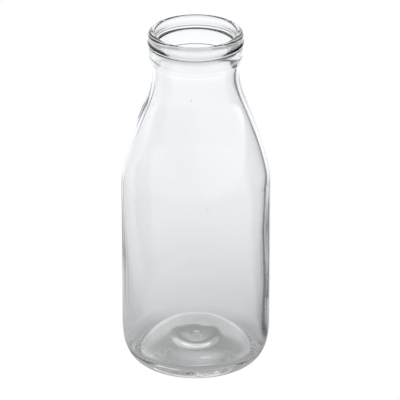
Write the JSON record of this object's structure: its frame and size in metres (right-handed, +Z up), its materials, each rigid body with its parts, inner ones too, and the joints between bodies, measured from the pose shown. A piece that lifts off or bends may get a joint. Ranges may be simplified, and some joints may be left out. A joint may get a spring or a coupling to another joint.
{
  "type": "glass milk bottle",
  "caption": "Clear glass milk bottle with a sloping shoulder, short neck, ringed collar and open mouth.",
  "frame": {"origin": "centre of the ring that the bottle stands on, on the bottle's axis", "axes": "+Z up along the bottle's axis, from the foot to the mouth; X and Y are level and alike"},
  "size_m": [0.064, 0.064, 0.152],
  "materials": {
    "clear_glass": "clear moulded flint glass, polished, with slight waviness"
  },
  "bodies": {
    "root": {"glass_bottle": "clear_glass"}
  },
  "joints": []
}
